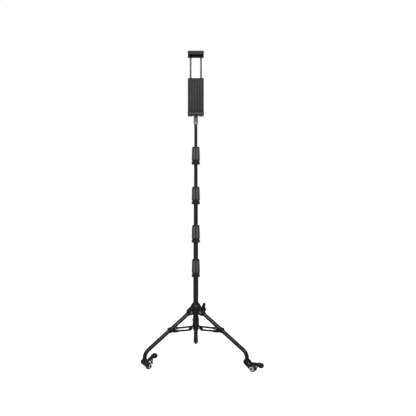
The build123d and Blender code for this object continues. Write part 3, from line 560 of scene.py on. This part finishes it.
def make_pedal(side_name):
    place = pedal_frame(side_name)
    body = f"pedal_{side_name}"
    bm = bmesh.new()
    add_lofted(bm, [(x, low, high, -half, half) for x, low, high, half in pedal_sections], place)
    add_framed(bm, web_outline, web_hole_outline(), -web_half_width, web_half_width, place)
    add_prism(bm, shoe_outline(), -shoe_half_width, shoe_half_width, place, 0.3)
    lever = finish_piece(bm, f"pedal_lever_{side_name}", MATERIALS["nylon"], body, 40)
    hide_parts(f"caster_{side_name}_pedal")
    bm = bmesh.new()
    for start in tread_starts:
        rib = [(start, tread_foot), (start + tread_width, tread_foot),
               (start + tread_width - tread_slant, tread_top), (start + tread_slant, tread_top)]
        half = tread_half_width if start > pad_start else neck_tread_half_width
        add_prism(bm, rib, -half, half, place, 0.25)
    finish_piece(bm, f"pedal_tread_{side_name}", TYRE_RUBBER, body)


# Hub knob: a domed cap pressed over the head of its screw
knob_end = 15.8
knob_cap_radius = 5.3


def make_knob_cap():
    section = [
        (0, knob_end - 0.3), (knob_cap_radius, knob_end - 0.3),
        (knob_cap_radius, knob_end + 0.4), (knob_cap_radius - 0.5, knob_end + 0.9),
        (knob_cap_radius * 0.6, knob_end + 1.4), (0, knob_end + 1.6),
    ]
    bm = bmesh.new()
    add_turned(bm, section, joint_frame("hub_knob_turn"), 40)
    finish_piece(bm, "hub_knob_cap", MATERIALS["lock_plastic"], "hub_knob")


# Struts: rolled flanges along both rails, which fork round the leg
strut_lift = radians(0.53)
strut_length = 79.5
strut_top_line = ((-1.0, 4.0), (strut_length, 5.6))
strut_foot_line = ((4.2, -10.5), (strut_length, -5.6))
strut_flange_corner = 0.35
# The lower rail starts further out than the upper one, and the upper flange rises less
foot_flange_start = 10.5
top_flange_rise = 0.7
strut_flange_stations = (
    # along the strut, inner side, outer side, depth into the window, rise over the strut's edge
    (6.5, -0.1, 3.35, 4.2, 0.8), (44.5, -0.1, 3.35, 4.2, 0.8), (46.5, 0.3, 4.2, 3.9, 0.8),
    (56.0, 7.9, 10.6, 2.6, 0.9), (57.8, 8.46, 11.1, 2.3, 1.0), (74.0, 8.46, 11.1, 2.3, 1.0),
)


def on_line(line, x):
    """Height of a straight line at x."""
    (x0, y0), (x1, y1) = line
    return y0 + (y1 - y0) * (x - x0) / (x1 - x0)


def make_strut_flanges(side_name):
    pivot = Vector(JOINTS[f"strut_{side_name}_fold"]["pos_m"])
    place = outward_frame(pivot, Vector((pivot.x, pivot.y, 0)).normalized(), strut_lift)
    bm = bmesh.new()
    for side in (-1, 1):
        top, foot = [], []
        for x, inner, outer, depth, rise in strut_flange_stations:
            edge = on_line(strut_top_line, x)
            top.append(
                (x, edge - depth, edge + min(rise, top_flange_rise), side * inner, side * outer))
            x = max(x, foot_flange_start)
            edge = on_line(strut_foot_line, x)
            foot.append((x, edge - rise, edge + depth, side * inner, side * outer))
        for flange in (top, foot):
            add_lofted(bm, flange, place, strut_flange_corner, 20)
    finish_piece(
        bm, f"strut_flanges_{side_name}", MATERIALS["nylon"], f"strut_{side_name}", 40)


# Twist locks: a soft pad moulded on each land between the flutes of a grip. The pads' grey is partly the rubber's
# own and partly painted light, making the lands lighter than the flutes
lock_bottoms = (279.5, 392.5, 519.0, 650.5)
lock_height = 58.5
grip_start = 12.9
grip_bottom_radius = 13.2
grip_top_radius = 12.0
flute_count = 8
pad_half_angle = radians(13.5)
pad_sunk = 0.3
pad_proud = 0.8
pad_foot_margin = 3.0
pad_top_margin = 5.0


def land_outline(radius, middle):
    """Plan of a pad: an arc sunk in the grip's land, and an arc that stands out of it."""
    turns = [middle + pad_half_angle * k / 4 for k in range(-4, 5)]
    near, far = radius - pad_sunk, radius + pad_proud
    outer = [(far * cos(a), far * sin(a)) for a in turns]
    return outer + [(near * cos(a), near * sin(a)) for a in reversed(turns)]


def make_grip_pads_painted_light(number):
    foot = lock_bottoms[number - 1] + grip_start
    top = lock_bottoms[number - 1] + lock_height
    low, high = foot + pad_foot_margin, top - pad_top_margin
    lean = (grip_top_radius - grip_bottom_radius) / (top - foot)
    low_radius = grip_bottom_radius + lean * (low - foot)
    high_radius = grip_bottom_radius + lean * (high - foot)
    bm = bmesh.new()
    for land in range(flute_count):
        middle = 2 * pi * (land + 0.5) / flute_count
        add_prism(
            bm, land_outline(low_radius, middle), low, high, Matrix.Scale(MM, 4), 0.3,
            land_outline(high_radius, middle))
    finish_piece(bm, f"grip_pads_{number}", GRIP_RUBBER_AND_PAINTED_LIGHT, f"lock_{number}_grip")


# Holder: screws in the back, rubber strips in the front panel, ribbed rubber in both jaws
housing_back = 13.0
housing_face = 25.0
panel_front = 25.8
jaw_front = 40.0
lip_thickness = 2.5
housing_screw_across = 20.6
housing_screw_heights = (815.5, 921.0)
housing_screw_recess = 1.5
rod_across = 17.0
rod_from_back = 6.0
strip_bottom, strip_top = 824.5, 920.0
strip_count = 5
strip_pitch = 8.4
strip_width = 1.5
cushion_width = 48.0
cushion_rib_count = 12
cushion_rib_pitch = 3.9
cushion_rib_width = 2.4
cushion_rib_height = 1.0
# Bumper strip: grey rubber that is partly a painted highlight on the lower jaw's front face
painted_light_bumper_width = 55.0
painted_light_bumper_height = 4.0


def add_screw(bm, place, radius, height):
    """Pan head with a cross recess, standing on the frame's plane."""
    head = [
        (0, -0.6), (radius, -0.6), (radius, height * 0.45), (radius * 0.86, height * 0.85),
        (radius * 0.6, height), (radius * 0.5, height), (radius * 0.46, 0.0), (0, 0.0),
    ]
    add_turned(bm, head, place, 32)
    # Four wedges stand in the head's well, and the cross is left open between them
    wedge = [(radius * 0.1, radius * 0.1), (radius * 0.52, radius * 0.1),
             (radius * 0.37, radius * 0.37), (radius * 0.1, radius * 0.52)]
    for quarter in range(4):
        turn = place @ Matrix.Rotation(quarter * pi / 2 + pi / 4, 4, "Z")
        add_prism(bm, wedge, -0.3, height, turn)


def make_housing_screws():
    bm = bmesh.new()
    for x in (-housing_screw_across, housing_screw_across):
        for z in housing_screw_heights:
            back = -(housing_back + housing_screw_recess)
            place = axis_frame((x * MM, back * MM, z * MM), (0, 1, 0))
            add_screw(bm, place, radius=2.1, height=1.1)
    finish_piece(bm, "housing_screws", MATERIALS["steel_pin"], "holder")


def make_panel_strips():
    """Five soft strips, bonded in the panel's grooves, that grip what the jaws hold."""
    outline = round_box(strip_width, strip_top - strip_bottom, 0.74, 4)
    height = (strip_bottom + strip_top) / 2
    bm = bmesh.new()
    for k in range(strip_count):
        x = (k - (strip_count - 1) / 2) * strip_pitch
        place = axis_frame((x * MM, -(panel_front - 0.4) * MM, height * MM), (0, -1, 0))
        add_prism(bm, outline, -0.2, 0.55, place, 0.12)
    finish_piece(bm, "panel_strips", MATERIALS["pad_rubber"], "holder")


def add_cushion(bm, node, facing):
    """Moulded rubber cushion of a jaw: rounded block with ribs on the face that grips."""
    low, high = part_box(node)
    front = jaw_front - lip_thickness
    depth = front - housing_face
    half = (high.z - low.z) / MM / 2
    middle = Vector((0, -(housing_face + front) / 2 * MM, (low.z + high.z) / 2))
    place = axis_frame(middle, (0, 0, facing), (0, 1, 0))
    base = half - cushion_rib_height
    add_prism(bm, round_box(cushion_width, depth - 0.1, 1.2), -half, base, place, 0.4)
    for k in range(cushion_rib_count):
        x = (k - (cushion_rib_count - 1) / 2) * cushion_rib_pitch
        rib = place @ Matrix.Translation((x, 0, 0))
        outline = round_box(cushion_rib_width, depth - 1.2, 0.8, 3)
        add_prism(bm, outline, base - 0.4, half, rib, 0.35)


def make_lower_cushion():
    bm = bmesh.new()
    add_cushion(bm, "holder_lower_pad", 1)
    # The bumper: the part of the lower cushion that shows at the front, wider than the jaw. Its grey is partly the
    # rubber's own and partly a painted highlight on the jaw's front face
    low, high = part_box("holder_lower_pad")
    front = axis_frame((0, -(jaw_front + 0.35) * MM, (low.z + high.z) / 2), (0, -1, 0))
    add_prism(bm, round_box(painted_light_bumper_width, painted_light_bumper_height, 1.6), -0.35, 0.45, front, 0.2)
    lower = finish_piece(bm, "lower_jaw_cushion", MATERIALS["pad_rubber"], "holder")
    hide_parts("holder_lower_pad")


def make_upper_cushion():
    bm = bmesh.new()
    add_cushion(bm, "holder_upper_pad", -1)
    upper = finish_piece(
        bm, "upper_jaw_cushion", MATERIALS["pad_rubber"], "upper_jaw")
    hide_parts("holder_upper_pad")


def make_rod_screws():
    """Flat screws that hold the jaw on its rods, sunk in the jaw's top."""
    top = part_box("holder_upper_jaw")[1].z
    bm = bmesh.new()
    for x in (-rod_across, rod_across):
        spot = (x * MM, -(housing_back + rod_from_back) * MM, top)
        add_screw(bm, axis_frame(spot, (0, 0, 1), (0, 1, 0)), radius=2.8, height=0.7)
    finish_piece(bm, "rod_screws", MATERIALS["steel_pin"], "upper_jaw")


for name in CASTERS:
    make_wheel(name)
    make_axle_washers(name)
    make_pedal_rivets(name)
    make_pedal(name)
    make_strut_flanges(name)
for number in range(1, len(lock_bottoms) + 1):
    make_grip_pads_painted_light(number)
make_knob_cap()
make_housing_screws()
make_panel_strips()
make_lower_cushion()
make_upper_cushion()
make_rod_screws()


# Studio: white floor and surround, soft lamps in front, at a level that shows colours as written
floor_half = 3.0
floor_glow = 0.8
surround_level = 0.24
surround_level_in_gloss = 0.5
lamp_size = 0.6
lamp_power = 37
lamp_aim = (0, 0, 0.4)
camera_place = (0, -1.585, 0.507)
camera_lens_mm = 41.5
camera_sensor_mm = 36.0
camera_shift = 0.0293


def studio_floor():
    """Seamless floor: white where lit, and a shade darker in the stand's shadow."""
    material = bpy.data.materials.new("studio_paper_white")
    material.use_nodes = True
    tree = material.node_tree
    tree.nodes.clear()
    paper = add_node(tree, "BsdfDiffuse", {"Color": linear("#e6e6e6")})
    seen = add_node(tree, "LightPath").outputs["Is Camera Ray"]
    lift = add_node(tree, "Math", {"operation": "MULTIPLY", 1: floor_glow}, {0: seen}).outputs[0]
    glow = add_node(tree, "Emission", {"Color": linear("#ffffff")}, {"Strength": lift})
    both = add_node(tree, "AddShader", links={0: paper.outputs[0], 1: glow.outputs[0]})
    add_node(tree, "OutputMaterial", links={"Surface": both.outputs[0]})
    mesh = bpy.data.meshes.new("studio_floor")
    corners = [(x * floor_half, y * floor_half, 0) for x, y in ((-1, -1), (1, -1), (1, 1), (-1, 1))]
    mesh.from_pydata(corners, [], [(0, 1, 2, 3)])
    mesh.materials.append(material)
    floor = bpy.data.objects.new("studio_floor", mesh)
    bpy.context.scene.collection.objects.link(floor)


def studio_surround():
    """Even surround: it lights the stand a little, gloss shows more of it, the lens sees white."""
    world = bpy.data.worlds.new("studio_surround")
    world.use_nodes = True
    tree = world.node_tree
    tree.nodes.clear()
    path = add_node(tree, "LightPath").outputs
    gloss = add_node(
        tree, "Math", {"operation": "MAXIMUM"},
        {0: path["Is Glossy Ray"], 1: path["Is Transmission Ray"]},
    )
    shown = add_node(
        tree, "MapRange", {"To Min": surround_level, "To Max": surround_level_in_gloss},
        {"Value": gloss.outputs[0]},
    )
    level = add_node(
        tree, "Math", {"operation": "MAXIMUM"},
        {0: shown.outputs["Result"], 1: path["Is Camera Ray"]},
    )
    background = add_node(
        tree, "Background", {"Color": linear("#ffffff")}, {"Strength": level.outputs[0]})
    add_node(tree, "OutputWorld", links={"Surface": background.outputs[0]})
    bpy.context.scene.world = world


def soft_box(name, place):
    """Square diffused lamp at place, turned towards the stand."""
    lamp = bpy.data.lights.new(name, "AREA")
    lamp.shape, lamp.size, lamp.energy = "SQUARE", lamp_size, lamp_power
    item = bpy.data.objects.new(name, lamp)
    item.location = place
    item.rotation_euler = (Vector(lamp_aim) - Vector(place)).to_track_quat("-Z", "Y").to_euler()
    bpy.context.scene.collection.objects.link(item)


def studio_camera():
    """Level camera straight in front of the stand, shifted so the stand is left of the middle."""
    lens = bpy.data.cameras.new("camera")
    lens.lens, lens.sensor_width = camera_lens_mm, camera_sensor_mm
    lens.shift_x = camera_shift
    item = bpy.data.objects.new("camera", lens)
    item.location = camera_place
    item.rotation_euler = (radians(90), 0, 0)
    bpy.context.scene.collection.objects.link(item)
    bpy.context.scene.camera = item


studio_floor()
studio_surround()
soft_box("key_left", (-0.9, -2.2, 2.2))
soft_box("key_right", (0.95, -2.2, 2.1))
studio_camera()
bpy.context.scene.view_settings.view_transform = "Standard"
